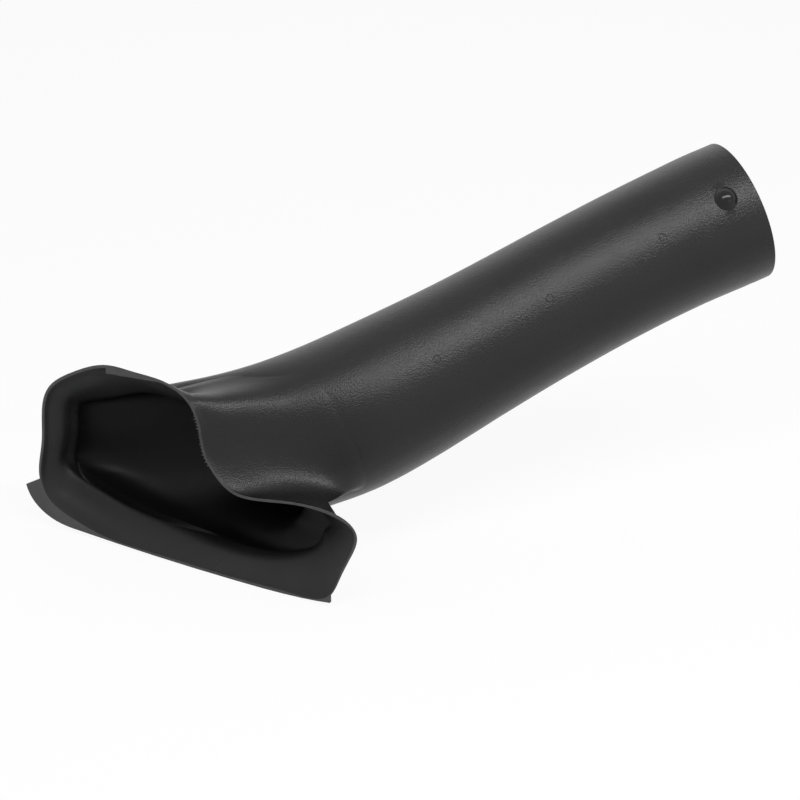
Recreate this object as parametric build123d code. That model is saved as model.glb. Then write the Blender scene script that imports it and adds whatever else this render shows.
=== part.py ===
from build123d import *
from math import cos, sin, tan, hypot, radians
import os

os.makedirs("parts", exist_ok=True)

# Tube
outlet_d = 152.0
waist_d = 148.6
throat_d = 163.0
wall = 3.2
spigot_length = 15.0
outlet_x = 608.0
outlet_z = 307.0
outlet_rise = 16.5
waist_rise = 22.5
tube_bow = 24.0
tube_turn = 24.0

# Mouth, measured in its own upright plane from the origin on the lip
mouth_skew = 40.3
mouth_left = 192.0
mouth_right = 196.0
dome_height = 202.0
flap_height = 103.0
lip_bow = 4.8

# Collar behind the rim: its shoulder, its ramped floor and the way it leads into the tube
collar_depth = 9.0
collar_lead = 4.0
collar_rise = 9.0
shoulder = 8.0
crown_fall = 38.0
dish_depth = 38.0
ramp_middle = 16.0
ramp_left = 8.0
ramp_right = 12.0
ramp_slope = 1.1
lip_thinning = 0.6
groove = 1.6

# Nose in which the flap closes at the back
nose_u = 132.0
nose_z = 66.0
nose_r = 13.0

# Boss under the crown of the rim
boss_left = 98.0
boss_right = 29.0
boss_thick = 9.5
boss_thin = 4.5
boss_depth = 8.0

# Flange at the lower left corner and the hem along the lip
flange_reach = 19.0
hem = 1.8
flange_thickness = 3.0

# Locating button near the outlet
button_d = 23.0
button_height = 8.0
button_fillet = 3.0
button_setback = 33.0
button_angle = 42.0

# Rim outline as shares of the mouth sizes, each with the angle it takes on the round tube
L = mouth_left
R = mouth_right
H = dome_height
F = flap_height
rim = [
    (0.12 * R, 0.61 * H, 26),
    (0.08 * R, 0.77 * H, 42),
    (0.02 * R, 0.91 * H, 58),
    (-0.15 * L, 0.99 * H, 77),
    (-0.33 * L, 1.00 * H, 92),
    (-0.51 * L, 1.00 * H, 107),
    (-0.73 * L, 0.915 * H, 124),
    (-0.88 * L, 0.815 * H, 140),
    (-0.945 * L, 0.70 * H, 156),
    (-0.97 * L, 0.47 * H, 182),
    (-1.00 * L, 0.24 * H, 208),
    (-0.94 * L, 0.125 * H, 222),
    (-0.81 * L, 0.06 * H, 236),
    (-0.57 * L, 0.00 * H, 252),
    (-0.20 * L, -0.65 * lip_bow, 270),
    (0.25 * R, -1.00 * lip_bow, 288),
    (0.61 * R, -0.85 * lip_bow, 304),
    (0.82 * R, 0.03 * F, 314),
    (0.91 * R, 0.34 * F, 322),
    (0.975 * R, 0.60 * F, 328),
    (1.00 * R, 0.79 * F, 333),
    (0.96 * R, 0.91 * F, 338),
    (0.73 * R, 1.00 * F, 347),
    (0.46 * R, 0.94 * F, 358),
    (0.27 * R, 0.93 * F, 369),
]
count = len(rim)

# Places of the outline points along the section curves
lengths = [0.0]
for i in range(count):
    here = rim[i]
    after = rim[(i + 1) % count]
    lengths.append(lengths[-1] + hypot(after[0] - here[0], after[1] - here[1]))
turns = [point[2] - rim[0][2] for point in rim] + [360.0]
places = [lengths[i] / lengths[-1] + turns[i] / 360.0 for i in range(count + 1)]


def smooth(x):
    x = min(max(x, 0.0), 1.0)
    return x * x * (3.0 - 2.0 * x)


def heading(turn, rise):
    level = cos(radians(rise))
    return Vector(level * cos(radians(turn)), level * sin(radians(turn)), sin(radians(rise)))


def flow_plane(origin, turn, rise):
    return Plane(origin=origin, x_dir=heading(turn - 90, 0), z_dir=-heading(turn, rise))


def inset(points, depths):
    moved = []
    for i in range(count):
        ahead = points[(i + 1) % count]
        behind = points[i - 1]
        across = hypot(ahead[0] - behind[0], ahead[1] - behind[1])
        u = points[i][0] - depths[i] * (ahead[1] - behind[1]) / across
        z = points[i][1] + depths[i] * (ahead[0] - behind[0]) / across
        moved.append((u, z))
    return moved


# Outline of the mouth at a depth behind the rim
def dished(depth):
    step = smooth((depth - 0.5 * collar_depth) / (1.5 * collar_depth))
    share = depth / dish_depth
    drift = depth * tan(radians(mouth_skew - collar_lead))
    lift = depth * tan(radians(collar_rise))
    dip = groove * (1.0 - min(abs(depth / collar_depth - 1.5) / 0.5, 1.0))
    points = []
    for u, z, angle in rim:
        on_flap = smooth((u / R - 0.35) / 0.5)
        on_left = smooth(-u / L)
        on_top = smooth((z / H - 0.55) / 0.4) * smooth(0.5 - u / R / 0.3)
        on_floor = smooth(1.0 - z / F)
        on_side = smooth(2.0 * z / F - 1.0) * (1.0 - on_flap) * (1.0 - on_left) * (1.0 - on_top)
        run = min(depth, ramp_middle + ramp_left * on_left + ramp_right * on_flap)
        u_new = u + drift * (1.0 - on_flap) * (1.0 - 0.7 * on_left) + shoulder * step * on_left
        z_new = z - crown_fall * share * on_top + lift * on_side
        z_new += (ramp_slope * run - dip * on_left) * on_floor
        around = radians(4.5 * (angle - 328))
        u_nose = nose_u + nose_r * cos(around)
        z_nose = nose_z + nose_r * sin(around)
        u_new += (u_nose - u_new) * share * on_flap
        z_new += (z_nose - z_new) * share * on_flap
        points.append((u_new, z_new))
    return points


def ring(plane, points, depths):
    corners = [Vector(*plane.from_local_coords(point)) for point in inset(points, depths)]
    along = (corners[1] - corners[-1]) / (places[1] - places[0] + places[-1] - places[-2])
    closed = corners + corners[:1]
    return Wire([Edge.make_spline(closed, tangents=[along, along], parameters=places, scale=False)])


# Stations along the tube: place, turn and rise of the section, share of the round form, diameter
flow = heading(0, outlet_rise)
outlet = Vector(outlet_x, 0, outlet_z)
neck = outlet - flow * spigot_length
bend = outlet - flow * 4 * spigot_length
X = outlet_x
Z = outlet_z
stations = [
    (Vector(0.079 * X, 1.5 * tube_bow, 0.31 * Z), 1.35 * tube_turn, 0.18 * waist_rise, 0.5, 0.96 * throat_d),
    (Vector(0.14 * X, tube_bow, 0.36 * Z), tube_turn, 0.36 * waist_rise, 0.84, 0.97 * throat_d),
    (Vector(0.247 * X, 0.42 * tube_bow, 0.426 * Z), 0.42 * tube_turn, 0.67 * waist_rise, 0.95, throat_d),
    (Vector(0.354 * X, 0.17 * tube_bow, 0.507 * Z), 0.08 * tube_turn, 0.89 * waist_rise, 1.0, throat_d),
    (Vector(0.493 * X, 0, 0.627 * Z), 0, waist_rise, 1.0, 0.66 * waist_d + 0.34 * throat_d),
    (Vector(0.658 * X, 0, 0.764 * Z), 0, waist_rise, 1.0, waist_d),
    (Vector(0.822 * X, 0, 0.889 * Z), 0, 0.6 * waist_rise + 0.4 * outlet_rise, 1.0, waist_d),
    (bend, 0, 0.15 * waist_rise + 0.85 * outlet_rise, 1.0, 0.5 * (waist_d + outlet_d)),
    (neck, 0, outlet_rise, 1.0, outlet_d),
]


def body(thickness):
    collar = []
    thinned = [thickness * (1.0 - lip_thinning * smooth(1.0 - z / F)) for u, z, angle in rim]
    even = [thickness] * count
    for k in (0.0, 0.5, 1.0, 1.5, 2.0, 0.75 * dish_depth / collar_depth, dish_depth / collar_depth):
        depth = k * collar_depth
        plane = flow_plane(heading(mouth_skew, 0) * depth, mouth_skew, 0)
        collar.append(ring(plane, dished(depth), thinned if k == 0.0 else even))
    throat = dished(dish_depth)
    centre_u = sum(u for u, z in throat) / count
    centre_z = sum(z for u, z in throat) / count
    tube = [collar[-1]]
    for origin, turn, rise, share, d in stations:
        points = []
        for (u, z), (u_rim, z_rim, angle) in zip(throat, rim):
            u_round = d / 2 * cos(radians(angle))
            z_round = d / 2 * sin(radians(angle))
            u_left = (u - centre_u) * (1 - share)
            z_left = (z - centre_z) * (1 - share)
            points.append((u_left + u_round * share, z_left + z_round * share))
        tube.append(ring(flow_plane(origin, turn, rise), points, even))
    spigot = Solid.make_cylinder(outlet_d / 2 - thickness, spigot_length, flow_plane(outlet, 0, outlet_rise))
    return Solid.make_loft(collar).fuse(Solid.make_loft(tube)).fuse(spigot, tol=0.05)


outer = body(0.0)
inner = body(wall)

# Boss that thickens the crown of the rim from below
front = flow_plane(Vector(0, 0, 0), mouth_skew, 0)
boss_low = (-boss_right, H - boss_thin)
boss_corner = (-boss_left, H - boss_thick)
boss = Polyline((-boss_left, H), (-boss_right, H), boss_low, boss_corner, close=True)
inner -= extrude(front * make_face(boss), -boss_depth)

# Flange and hem in the plane of the rim
tip = (-L - flange_reach, 0.19 * H)
lip_left = (-0.75 * L, 0)
lip_middle = (0.25 * R, -lip_bow - hem)
lip_right = (0.835 * R, -0.9 * hem)
sweep_line = Spline(tip, (-L, 0.06 * H), lip_left, tangents=((0.25, -1), (1, -0.03)))
lip_line = Spline(lip_left, lip_middle, lip_right, tangents=((1, -0.06), (1, 0.14)))
edge_line = Polyline(lip_right, (0.835 * R, 0.06 * F), (-0.9 * L, 0.3 * H), tip)
plate = extrude(front * make_face(Curve() + sweep_line + lip_line + edge_line), -flange_thickness)
outer += plate

# Button
side = heading(-90, 0)
rise_up = flow.cross(side) * -1
out = side * cos(radians(button_angle)) + rise_up * sin(radians(button_angle))
button_r = (button_d**2 / 4 + button_height**2) / (2 * button_height)
button_seat = outlet - flow * button_setback + out * (outlet_d / 2 - 0.5 + button_height - button_r)
button_plane = Plane(button_seat, x_dir=-out, z_dir=flow)
foot_plane = Plane(outlet - flow * button_setback + out * (outlet_d / 2), x_dir=flow, z_dir=flow.cross(out))
foot_r = button_d / 2 + button_fillet
foot_side = Polyline(
    (foot_r, -0.8 * button_fillet),
    (foot_r, -1.5 * button_fillet),
    (0.8 * button_d / 2, -1.5 * button_fillet),
    (0.8 * button_d / 2, 0.9 * button_fillet),
    (0.84 * button_d / 2, 0.9 * button_fillet),
)
foot_arc = ThreePointArc(foot_side @ 1, (button_d / 2, 0.1 * button_fillet), foot_side @ 0)
outer += Solid.make_sphere(button_r, button_plane, -90, 90, 360)
outer += revolve(foot_plane * make_face(Curve() + foot_side + foot_arc), Axis(foot_plane.origin, out))
inner += Solid.make_sphere(button_r - wall, button_plane, -90, 90, 360)

chute = outer - inner
export_step(chute, "parts/chute.step")
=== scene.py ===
import math

import bpy
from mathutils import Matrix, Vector
from mathutils.bvhtree import BVHTree


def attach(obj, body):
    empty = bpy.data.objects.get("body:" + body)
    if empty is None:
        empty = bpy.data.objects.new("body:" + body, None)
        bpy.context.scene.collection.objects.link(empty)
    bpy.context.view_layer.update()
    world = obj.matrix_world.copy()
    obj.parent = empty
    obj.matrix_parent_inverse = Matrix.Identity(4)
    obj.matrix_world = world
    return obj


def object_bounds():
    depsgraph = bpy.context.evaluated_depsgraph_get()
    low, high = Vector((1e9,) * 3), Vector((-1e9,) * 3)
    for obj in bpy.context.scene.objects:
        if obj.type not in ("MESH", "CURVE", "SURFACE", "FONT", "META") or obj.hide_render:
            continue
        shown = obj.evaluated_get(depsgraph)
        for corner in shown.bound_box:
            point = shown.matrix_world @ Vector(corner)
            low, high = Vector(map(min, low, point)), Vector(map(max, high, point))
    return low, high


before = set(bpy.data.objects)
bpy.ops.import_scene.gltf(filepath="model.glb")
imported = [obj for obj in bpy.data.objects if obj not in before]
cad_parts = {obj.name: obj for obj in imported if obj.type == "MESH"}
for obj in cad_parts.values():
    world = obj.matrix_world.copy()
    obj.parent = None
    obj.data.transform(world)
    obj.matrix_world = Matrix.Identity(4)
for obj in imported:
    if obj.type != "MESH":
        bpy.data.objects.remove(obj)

cad_low, cad_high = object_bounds()
scene = bpy.context.scene
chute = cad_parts["chute"]

# Directions: along the lip of the mouth, square to the mouth into the chute, and up
ALONG_LIP = Vector((0.6468, -0.7627, 0.0))
INTO_CHUTE = Vector((0.7627, 0.6468, 0.0))
UP = Vector((0.0, 0.0, 1.0))

# Curved edge of the mouth: place along the lip, height, and the angle it takes on the tube.
# A place t on it counts these points from the second one on.
EDGE = [
    (0.196, 0.081, -60), (0.188, 0.094, -48), (0.143, 0.103, -25), (0.090, 0.097, -4),
    (0.053, 0.096, 9), (0.0235, 0.123, 26), (0.0157, 0.1555, 42), (0.004, 0.184, 58),
    (-0.029, 0.200, 77), (-0.063, 0.202, 92), (-0.098, 0.202, 107), (-0.140, 0.185, 124),
]

# Middle line of the tube, and that of the flap, which counts only near the mouth
TUBE_MIDDLE = [
    (-0.030, 0.010, 0.085), (0.048, 0.036, 0.095), (0.085, 0.024, 0.110),
    (0.150, 0.010, 0.131), (0.215, 0.004, 0.156), (0.300, 0.0, 0.192),
    (0.400, 0.0, 0.235), (0.500, 0.0, 0.273), (0.640, 0.0, 0.316),
]
FLAP_MIDDLE = [
    (0.048, 0.0, 0.080), (0.060, -0.060, 0.060), (0.085, -0.090, 0.060), (0.112, -0.092, 0.066),
]
FLAP_DEPTH = 0.05

# Front of the rim, which gets a paler painted sheen: how deep its faces may lie and how squarely
# they look out
FRONT_DEPTH = 0.0003
FRONT_LOOK = 0.95

# Button near the outlet
BUTTON = Vector((0.562, -0.0565, 0.3464))
BUTTON_REACH = 0.0135

# Photo and the camera that fits it
PHOTO_SIZE = 800
LENS = 110.0
SENSOR = 36.0
CAMERA_PLACE = (-0.5692, -2.1468, 1.2160)
CAMERA_LOOK = (0.3152, 0.8497, -0.4226)

# Share of a noise's range that is spread between a low and a high value
NOISE_LOW = 0.3
NOISE_HIGH = 0.7

# Sockets of a colour mix, found by number because several of them share a name
MIX_FACTOR = 0
MIX_NEAR = 6
MIX_FAR = 7
MIX_RESULT = 2


# Materials: plastic whose tone and roughness follow noise in object space
def new_material(name):
    material = bpy.data.materials.new(name)
    material.use_nodes = True
    nodes = material.node_tree.nodes
    return material, nodes, material.node_tree.links, nodes["Principled BSDF"]


def add_noise(nodes, links, place, scale, detail):
    noise = nodes.new("ShaderNodeTexNoise")
    noise.inputs["Scale"].default_value = scale
    noise.inputs["Detail"].default_value = detail
    links.new(place, noise.inputs["Vector"])
    return noise.outputs["Fac"]


def add_range(nodes, links, noise, low, high):
    spread = nodes.new("ShaderNodeMapRange")
    spread.inputs["From Min"].default_value = NOISE_LOW
    spread.inputs["From Max"].default_value = NOISE_HIGH
    spread.inputs["To Min"].default_value = low
    spread.inputs["To Max"].default_value = high
    links.new(noise, spread.inputs["Value"])
    return spread.outputs["Result"]


def add_tone(nodes, links, noise, dark, light):
    ramp = nodes.new("ShaderNodeValToRGB")
    ramp.color_ramp.elements[0].position = NOISE_LOW
    ramp.color_ramp.elements[0].color = (*dark, 1)
    ramp.color_ramp.elements[1].position = NOISE_HIGH
    ramp.color_ramp.elements[1].color = (*light, 1)
    links.new(noise, ramp.inputs["Fac"])
    return ramp.outputs["Color"]


def add_bump(nodes, links, shader, height, strength, distance):
    bump = nodes.new("ShaderNodeBump")
    bump.inputs["Strength"].default_value = strength
    bump.inputs["Distance"].default_value = distance
    links.new(height, bump.inputs["Height"])
    links.new(bump.outputs["Normal"], shader.inputs["Normal"])


def add_ripple(nodes, links, shader, place):
    ripple = add_noise(nodes, links, place, scale=45.0, detail=1.0)
    add_bump(nodes, links, shader, ripple, strength=0.25, distance=0.002)


def grained_plastic():
    material, nodes, links, shader = new_material("grained_plastic")
    place = nodes.new("ShaderNodeTexCoord").outputs["Object"]
    cloud = add_noise(nodes, links, place, scale=9.0, detail=3.0)
    tone = add_tone(nodes, links, cloud, dark=(0.005, 0.005, 0.0053), light=(0.008, 0.008, 0.0084))
    roughness = add_range(nodes, links, cloud, low=0.32, high=0.36)
    pebble = add_noise(nodes, links, place, scale=640.0, detail=2.0)
    links.new(tone, shader.inputs["Base Color"])
    links.new(roughness, shader.inputs["Roughness"])
    shader.inputs["Specular IOR Level"].default_value = 0.32
    add_bump(nodes, links, shader, pebble, strength=0.6, distance=0.0009)
    return material


# The inside is greyer near the mouth and fades to black further in: painted light near the mouth
# and painted shade deeper in the chute
def inside_painted_light_and_shade():
    material, nodes, links, shader = new_material("inside_painted_light_and_shade")
    place = nodes.new("ShaderNodeTexCoord").outputs["Object"]
    cloud = add_noise(nodes, links, place, scale=14.0, detail=2.0)
    # The paler tone near the mouth is painted light; the darker tone further in is painted shade
    near = add_tone(nodes, links, cloud, dark=(0.025, 0.025, 0.0255), light=(0.031, 0.031, 0.0315))
    painted_shade_tone = add_tone(nodes, links, cloud, dark=(0.003, 0.003, 0.0031), light=(0.0045, 0.0045, 0.0046))
    roughness = add_range(nodes, links, cloud, low=0.40, high=0.48)
    depth = nodes.new("ShaderNodeVectorMath")
    depth.operation = "DOT_PRODUCT"
    depth.inputs[1].default_value = INTO_CHUTE
    links.new(place, depth.inputs[0])
    shade_fade = nodes.new("ShaderNodeMapRange")
    shade_fade.interpolation_type = "SMOOTHSTEP"
    shade_fade.inputs["From Min"].default_value = 0.004
    shade_fade.inputs["From Max"].default_value = 0.045
    links.new(depth.outputs["Value"], shade_fade.inputs["Value"])
    blend = nodes.new("ShaderNodeMix")
    blend.data_type = "RGBA"
    links.new(shade_fade.outputs["Result"], blend.inputs[MIX_FACTOR])
    links.new(near, blend.inputs[MIX_NEAR])
    links.new(painted_shade_tone, blend.inputs[MIX_FAR])
    links.new(blend.outputs[MIX_RESULT], shader.inputs["Base Color"])
    links.new(roughness, shader.inputs["Roughness"])
    shader.inputs["Specular IOR Level"].default_value = 0.12
    add_ripple(nodes, links, shader, place)
    return material


# Paler plastic for the front of the rim and the trim chips: a painted sheen that stands in for
# light caught there
def painted_sheen_plastic():
    material, nodes, links, shader = new_material("painted_sheen_plastic")
    place = nodes.new("ShaderNodeTexCoord").outputs["Object"]
    sheen_noise = add_noise(nodes, links, place, scale=60.0, detail=4.0)
    tone = add_tone(nodes, links, sheen_noise, dark=(0.030, 0.030, 0.031), light=(0.055, 0.055, 0.056))
    roughness = add_range(nodes, links, sheen_noise, low=0.48, high=0.60)
    links.new(tone, shader.inputs["Base Color"])
    links.new(roughness, shader.inputs["Roughness"])
    add_ripple(nodes, links, shader, place)
    return material


def button_plastic():
    material, nodes, links, shader = new_material("button_plastic")
    place = nodes.new("ShaderNodeTexCoord").outputs["Object"]
    cloud = add_noise(nodes, links, place, scale=70.0, detail=2.0)
    tone = add_tone(nodes, links, cloud, dark=(0.003, 0.003, 0.0031), light=(0.005, 0.005, 0.0052))
    roughness = add_range(nodes, links, cloud, low=0.16, high=0.22)
    links.new(tone, shader.inputs["Base Color"])
    links.new(roughness, shader.inputs["Roughness"])
    shader.inputs["Specular IOR Level"].default_value = 0.3
    return material


grained = grained_plastic()
inside_shading = inside_painted_light_and_shade()
painted_sheen = painted_sheen_plastic()
sleek = button_plastic()

# Material slots of the chute
GRAINED_SLOT, INSIDE_SLOT, PAINTED_SHEEN_SLOT, SLEEK_SLOT = range(4)
mesh = chute.data
mesh.materials.clear()
for material in (grained, inside_shading, painted_sheen, sleek):
    mesh.materials.append(material)


def from_middle(point, lines):
    best = None
    for line in lines:
        for a, b in zip(line, line[1:]):
            span = Vector(b) - Vector(a)
            share = min(max((point - Vector(a)).dot(span) / span.length_squared, 0.0), 1.0)
            away = point - Vector(a) - span * share
            if best is None or away.length < best.length:
                best = away
    return best


# A face that looks towards the middle line nearest to it belongs to the inside
def slot_of(face):
    depth = face.center.dot(INTO_CHUTE)
    lines = (TUBE_MIDDLE, FLAP_MIDDLE) if depth < FLAP_DEPTH else (TUBE_MIDDLE,)
    # Faces on the front of the rim get the paler painted sheen
    if depth < FRONT_DEPTH and face.normal.dot(INTO_CHUTE) < -FRONT_LOOK:
        return PAINTED_SHEEN_SLOT
    # Inside faces get painted light near the mouth and painted shade further in
    if from_middle(face.center, lines).dot(face.normal) < 0:
        return INSIDE_SLOT
    if (face.center - BUTTON).length < BUTTON_REACH:
        return SLEEK_SLOT
    return GRAINED_SLOT


for face in mesh.polygons:
    face.material_index = slot_of(face)

# One smooth shade across the seams of the mesh, with its sharp edges kept
weld = chute.modifiers.new("weld", "WELD")
weld.merge_threshold = 0.00002
split = chute.modifiers.new("split", "EDGE_SPLIT")
split.split_angle = math.radians(30)

# Surface on which the added pieces are seated
surface = BVHTree.FromPolygons(
    [vertex.co for vertex in mesh.vertices],
    [list(face.vertices) for face in mesh.polygons],
)


def add_piece(name, points, faces, material, smooth):
    piece_mesh = bpy.data.meshes.new(name)
    piece_mesh.from_pydata(points, [], faces)
    piece_mesh.materials.append(material)
    piece_mesh.polygons.foreach_set("use_smooth", [smooth] * len(faces))
    piece = bpy.data.objects.new(name, piece_mesh)
    scene.collection.objects.link(piece)
    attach(piece, "root")


# Point of a smooth curve through the given points
def through(points, t):
    i = min(int(t), len(points) - 4)
    f = t - i
    values = []
    for a, b, c, d in zip(*points[i:i + 4]):
        bend = 2 * a - 5 * b + 4 * c - d
        twist = 3 * (b - c) + d - a
        values.append(b + 0.5 * f * (c - a + f * (bend + f * twist)))
    return values


def ease(x):
    x = min(max(x, 0.0), 1.0)
    return x * x * (3 - 2 * x)


# Swept skin from the curved edge of the mouth onto the tube: its stretch of the edge and its grid
SKIN_FIRST = 0.5
SKIN_LAST = 9.0
SKIN_STEPS = 150
SKIN_ROWS = 70

# It starts just behind the front of the rim. At the crown it steps back and onto the chute.
RIM_DEPTH = 0.0012
CROWN_FIRST = 5.9
CROWN_SPAN = 1.9
CROWN_BACK = 0.032
CROWN_SIDE = 0.7
CROWN_SEAT = 0.006

# It leaves the edge partly straight and partly along the tube, lands on one ring of the tube and
# heads for the next. A ring has a centre, a turn and a rise in degrees.
STRAIGHT_SHARE = 0.45
TUBE_SHARE = 0.55
TUBE_WAY = Vector((0.995, 0.087, 0.0))
LANDING_RING = (Vector((0.1502, 0.0101, 0.1308)), 10.1, 15.1)
NEXT_RING = (Vector((0.1700, 0.0080, 0.1395)), 7.5, 16.8)
RING_REACH = 0.2

# Its other borders are sunk into the chute: at the flap towards the core, elsewhere at the nearest
# place. The spans and rows say over how far this sets in.
SINK = 0.0006
CORE = Vector((0.085, 0.024, 0.110))
CORE_BACK = 0.01
CORE_REACH = 0.08
FLAP_SPAN = 0.3
LAST_SPAN = 0.8
LANDING_ROWS = 8

# Rounds of evening out, and the shares of a line over which they set in and fade
RING_ROUNDS = 12
MIDDLE_ROUNDS = 260
MIDDLE_IN = 0.3
MIDDLE_OUT = 0.4
ROW_ROUNDS = 8
LINE_ROUNDS = 4


def tube_point(ring, angle):
    centre, turn, rise = ring
    turn = math.radians(turn)
    rise = math.radians(rise)
    angle = math.radians(angle)
    lean = math.sin(rise)
    across = Vector((math.sin(turn), -math.cos(turn), 0.0))
    up = Vector((-lean * math.cos(turn), -lean * math.sin(turn), math.cos(rise)))
    out = across * math.cos(angle) + up * math.sin(angle)
    return surface.ray_cast(centre + out * RING_REACH, -out, RING_REACH)[0]


def sunk(point):
    near, normal = surface.find_nearest(point)[:2]
    return near - normal * SINK


def sunk_to_core(point):
    way = (CORE - point).normalized()
    place = surface.ray_cast(point - way * CORE_BACK, way, CORE_REACH)[0]
    if place is None:
        place = surface.find_nearest(point)[0]
    return place + way * SINK


def evened(points, rounds):
    for _ in range(rounds):
        middle = [
            (points[i - 1] + points[i] * 2 + points[i + 1]) / 4 for i in range(1, len(points) - 1)
        ]
        points = points[:1] + middle + points[-1:]
    return points


def even_row(lines, j, rounds):
    for line, point in zip(lines, evened([line[j] for line in lines], rounds)):
        line[j] = point


def hermite(a, along_a, b, along_b, t):
    return (
        a * (2 * t**3 - 3 * t**2 + 1) + along_a * (t**3 - 2 * t**2 + t)
        + b * (3 * t**2 - 2 * t**3) + along_b * (t**3 - t**2)
    )


def skin_start(t):
    u, z = through(EDGE, t)[:2]
    back = CROWN_BACK * ease((t - CROWN_FIRST) / CROWN_SPAN)
    along = ALONG_LIP * (u + CROWN_SIDE * back)
    start = along + INTO_CHUTE * (back + RIM_DEPTH) + UP * (z - back)
    return start.lerp(sunk(start), ease(back / CROWN_SEAT))


def skin_line(start, end, beyond):
    span = (end - start).length
    way_out = (end - start).normalized() * STRAIGHT_SHARE + TUBE_WAY * TUBE_SHARE
    way_in = (beyond - end).normalized()
    shares = [j / SKIN_ROWS for j in range(SKIN_ROWS + 1)]
    return [hermite(start, way_out * span, end, way_in * span, share) for share in shares]


def swept_skin():
    places = [SKIN_FIRST + (SKIN_LAST - SKIN_FIRST) * i / SKIN_STEPS for i in range(SKIN_STEPS + 1)]
    angles = [through(EDGE, t)[2] for t in places]
    starts = [skin_start(t) for t in places]
    ends = evened([tube_point(LANDING_RING, angle) for angle in angles], RING_ROUNDS)
    beyonds = evened([tube_point(NEXT_RING, angle) for angle in angles], RING_ROUNDS)
    lines = [skin_line(start, end, beyond) for start, end, beyond in zip(starts, ends, beyonds)]
    for j in range(1, SKIN_ROWS):
        share = j / SKIN_ROWS
        amount = MIDDLE_ROUNDS * ease(share / MIDDLE_IN) * ease((1 - share) / MIDDLE_OUT)
        even_row(lines, j, int(amount))
    for t, line in zip(places, lines):
        at_flap = 1 - ease((t - SKIN_FIRST) / FLAP_SPAN)
        at_last = ease((t - SKIN_LAST + LAST_SPAN) / LAST_SPAN)
        for j, point in enumerate(line):
            landed = max(at_last, ease((j - SKIN_ROWS + LANDING_ROWS) / LANDING_ROWS))
            line[j] = point.lerp(sunk_to_core(point), at_flap).lerp(sunk(point), landed)
    for j in range(1, SKIN_ROWS):
        even_row(lines, j, ROW_ROUNDS)
    points = [point for line in lines for point in evened(line, LINE_ROUNDS)]
    faces = []
    for i in range(SKIN_STEPS):
        for j in range(SKIN_ROWS):
            a = i * (SKIN_ROWS + 1) + j
            faces.append((a, a + 1, a + SKIN_ROWS + 2, a + SKIN_ROWS + 1))
    add_piece("swept_skin", points, faces, grained, smooth=True)


swept_skin()

# Camera
camera_data = bpy.data.cameras.new("camera")
camera_data.lens = LENS
camera_data.sensor_width = SENSOR
camera = bpy.data.objects.new("camera", camera_data)
camera.location = CAMERA_PLACE
camera.rotation_euler = Vector(CAMERA_LOOK).to_track_quat("-Z", "Y").to_euler()
scene.collection.objects.link(camera)
scene.camera = camera

# Small marks: where the photo shows them, in its pixels, and how they are formed
VENT_MARKS = ((330, 411), (437, 359), (550, 298), (663, 237))
VENT_SPOTS = 40
VENT_RADIUS = 0.0037
PARTING_FIRST = (208, 571)
PARTING_STEP = (2.4, -1.9)
PARTING_SPOTS = 11
BEAD_SIDES = 8
BEAD_END = 0.3


# Place and normal of the chute's surface at a pixel of the photo
def seen_at(x, y):
    right = (x - PHOTO_SIZE / 2) / PHOTO_SIZE * SENSOR
    above = (PHOTO_SIZE / 2 - y) / PHOTO_SIZE * SENSOR
    look = camera.rotation_euler.to_matrix()
    ray = look @ Vector((right, above, -LENS)).normalized()
    return surface.ray_cast(camera.location, ray)[:2]


# Thin round bead along the given places, either a closed loop or a line with slim ends
def bead(name, spots, radius, closed, material):
    count = len(spots)
    points = []
    faces = []
    for i in range(count):
        place, normal = spots[i]
        ahead = spots[(i + 1) % count][0] if closed or i < count - 1 else place
        behind = spots[i - 1][0] if closed or i > 0 else place
        across = (ahead - behind).normalized().cross(normal).normalized()
        slim = 1.0 if closed or 0 < i < count - 1 else BEAD_END
        for k in range(BEAD_SIDES):
            turn = 2 * math.pi * k / BEAD_SIDES
            out = across * math.cos(turn) + normal * math.sin(turn)
            points.append(place + out * radius * slim)
    for i in range(count if closed else count - 1):
        here = i * BEAD_SIDES
        after = (i + 1) % count * BEAD_SIDES
        for k in range(BEAD_SIDES):
            k_next = (k + 1) % BEAD_SIDES
            faces.append((here + k, here + k_next, after + k_next, after + k))
    if not closed:
        faces.append(tuple(range(BEAD_SIDES)))
        faces.append(tuple((count - 1) * BEAD_SIDES + k for k in range(BEAD_SIDES)))
    add_piece(name, points, faces, material, smooth=True)


def vent_mark(name, x, y):
    centre, normal = seen_at(x, y)
    side = normal.orthogonal().normalized()
    other = normal.cross(side)
    spots = []
    for k in range(VENT_SPOTS):
        turn = 2 * math.pi * k / VENT_SPOTS
        ring_point = centre + (side * math.cos(turn) + other * math.sin(turn)) * VENT_RADIUS
        spots.append(surface.find_nearest(ring_point)[:2])
    bead(name, spots, radius=0.0005, closed=True, material=grained)


def parting_line():
    x, y = PARTING_FIRST
    step_x, step_y = PARTING_STEP
    spots = [seen_at(x + step_x * k, y + step_y * k) for k in range(PARTING_SPOTS)]
    # The parting line takes the inside colour, with its painted light near the mouth
    bead("parting_line", spots, radius=0.0004, closed=False, material=inside_shading)


for number, (x, y) in enumerate(VENT_MARKS):
    vent_mark("vent_mark_%d" % number, x, y)
parting_line()

# Chips left by trimming: their stretch of the edge, and each one's share of its pitch
CHIP_COUNT = 16
CHIP_FIRST = 3.85
CHIP_SPAN = 1.7
CHIP_SHARE = 0.7

# A chip is a tooth with its root on the rim, its tip past the rim and its heel behind the front
CHIP_MIDDLE = 0.6
CHIP_ROOT = 0.0015
CHIP_ROOT_OUT = 0.0003
CHIP_TIP = 0.0048
CHIP_TIP_VARY = 0.0007
CHIP_TIP_BEAT = 2.4
CHIP_TIP_OUT = 0.0008
CHIP_HEEL = 0.0026
CHIP_HEEL_IN = 0.0022
CHIP_FACES = ((0, 2, 1), (0, 1, 3), (1, 2, 3), (2, 0, 3))


def edge_point(t):
    u, z = through(EDGE, t)[:2]
    return ALONG_LIP * u + UP * z


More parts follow.
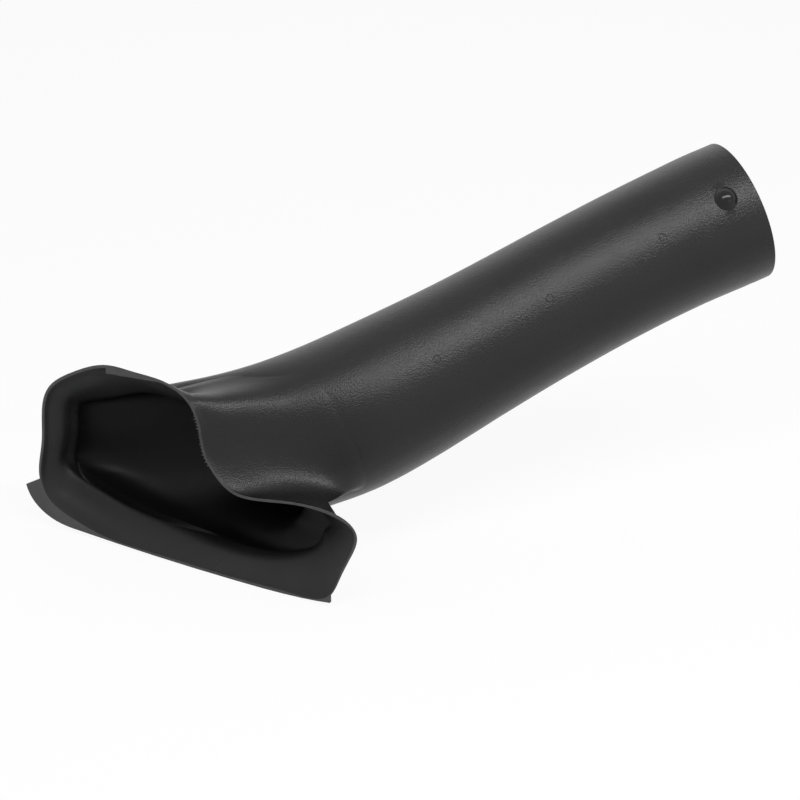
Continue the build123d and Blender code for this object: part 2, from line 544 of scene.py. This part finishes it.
def trim_chips():
    points = []
    faces = []
    for k in range(CHIP_COUNT):
        here = edge_point(CHIP_FIRST + CHIP_SPAN * k / CHIP_COUNT)
        after = edge_point(CHIP_FIRST + CHIP_SPAN * (k + CHIP_SHARE) / CHIP_COUNT)
        inward = (after - here).normalized().cross(INTO_CHUTE)
        middle = here.lerp(after, CHIP_MIDDLE)
        tip = CHIP_TIP + CHIP_TIP_VARY * math.sin(CHIP_TIP_BEAT * k)
        first = len(points)
        points += [
            here + inward * CHIP_ROOT - INTO_CHUTE * CHIP_ROOT_OUT,
            after + inward * CHIP_ROOT - INTO_CHUTE * CHIP_ROOT_OUT,
            middle + inward * tip - INTO_CHUTE * CHIP_TIP_OUT,
            middle + inward * CHIP_HEEL + INTO_CHUTE * CHIP_HEEL_IN,
        ]
        for a, b, c in CHIP_FACES:
            faces.append((first + a, first + b, first + c))
    # The chips take the paler painted sheen of the rim front
    add_piece("trim_chips", points, faces, painted_sheen, smooth=False)


trim_chips()


# 1 for rays to the camera, straight or by way of gloss or glass, else 0
def seen_directly(nodes, links):
    path = nodes.new("ShaderNodeLightPath")
    shiny = nodes.new("ShaderNodeMath")
    shiny.operation = "MAXIMUM"
    links.new(path.outputs["Is Glossy Ray"], shiny.inputs[0])
    links.new(path.outputs["Is Transmission Ray"], shiny.inputs[1])
    seen = nodes.new("ShaderNodeMath")
    seen.operation = "MAXIMUM"
    links.new(path.outputs["Is Camera Ray"], seen.inputs[0])
    links.new(shiny.outputs[0], seen.inputs[1])
    return seen.outputs[0]


# Floor: nearly white where it is seen, with a faint shadow
FLOOR_REACH = 12.0
FLOOR_CORNERS = ((-1, -1), (1, -1), (1, 1), (-1, 1))


def pale_floor():
    material, nodes, links, shader = new_material("pale_floor")
    shader.inputs["Base Color"].default_value = (0.86, 0.86, 0.86, 1)
    shader.inputs["Roughness"].default_value = 0.7
    shader.inputs["Specular IOR Level"].default_value = 0.0
    share = nodes.new("ShaderNodeMath")
    share.operation = "MULTIPLY"
    share.inputs[1].default_value = 0.92
    links.new(seen_directly(nodes, links), share.inputs[0])
    white = nodes.new("ShaderNodeEmission")
    white.inputs["Strength"].default_value = 1.0
    mix = nodes.new("ShaderNodeMixShader")
    links.new(share.outputs[0], mix.inputs["Fac"])
    links.new(shader.outputs["BSDF"], mix.inputs[1])
    links.new(white.outputs["Emission"], mix.inputs[2])
    links.new(mix.outputs["Shader"], nodes["Material Output"].inputs["Surface"])
    return material


floor_mesh = bpy.data.meshes.new("floor")
floor_points = [(x * FLOOR_REACH, y * FLOOR_REACH, cad_low.z) for x, y in FLOOR_CORNERS]
floor_mesh.from_pydata(floor_points, [], [(0, 1, 2, 3)])
floor_mesh.materials.append(pale_floor())
floor = bpy.data.objects.new("floor", floor_mesh)
scene.collection.objects.link(floor)


# World: white to the camera and in reflections. As a light it is dim, and brighter at the back.
def studio_world():
    world = bpy.data.worlds.new("studio")
    world.use_nodes = True
    nodes = world.node_tree.nodes
    links = world.node_tree.links
    place = nodes.new("ShaderNodeTexCoord")
    parts = nodes.new("ShaderNodeSeparateXYZ")
    links.new(place.outputs["Generated"], parts.inputs["Vector"])
    back = nodes.new("ShaderNodeMapRange")
    back.interpolation_type = "SMOOTHSTEP"
    back.inputs["From Min"].default_value = -0.2
    back.inputs["From Max"].default_value = 0.8
    back.inputs["To Min"].default_value = 0.12
    back.inputs["To Max"].default_value = 0.9
    links.new(parts.outputs["Y"], back.inputs["Value"])
    strength = nodes.new("ShaderNodeMath")
    strength.operation = "MAXIMUM"
    links.new(back.outputs["Result"], strength.inputs[0])
    links.new(seen_directly(nodes, links), strength.inputs[1])
    links.new(strength.outputs[0], nodes["Background"].inputs["Strength"])
    nodes["Background"].inputs["Color"].default_value = (1, 1, 1, 1)
    return world


scene.world = studio_world()


# Lamps
def softbox(name, place, target, width, height, watts):
    lamp = bpy.data.lights.new(name, "AREA")
    lamp.shape = "RECTANGLE"
    lamp.size = width
    lamp.size_y = height
    lamp.energy = watts
    holder = bpy.data.objects.new(name, lamp)
    holder.location = place
    holder.rotation_euler = (Vector(target) - Vector(place)).to_track_quat("-Z", "Y").to_euler()
    scene.collection.objects.link(holder)


softbox("key", (0.25, -0.95, 1.60), (0.33, 0.0, 0.2), width=2.6, height=0.36, watts=34.0)
softbox("rim", (0.90, 1.70, 1.05), (0.25, 0.0, 0.15), width=1.6, height=0.6, watts=1.5)
softbox("fill", (1.10, -1.80, 0.35), (0.08, -0.02, 0.14), width=1.2, height=1.0, watts=2.0)

scene.view_settings.view_transform = "Standard"
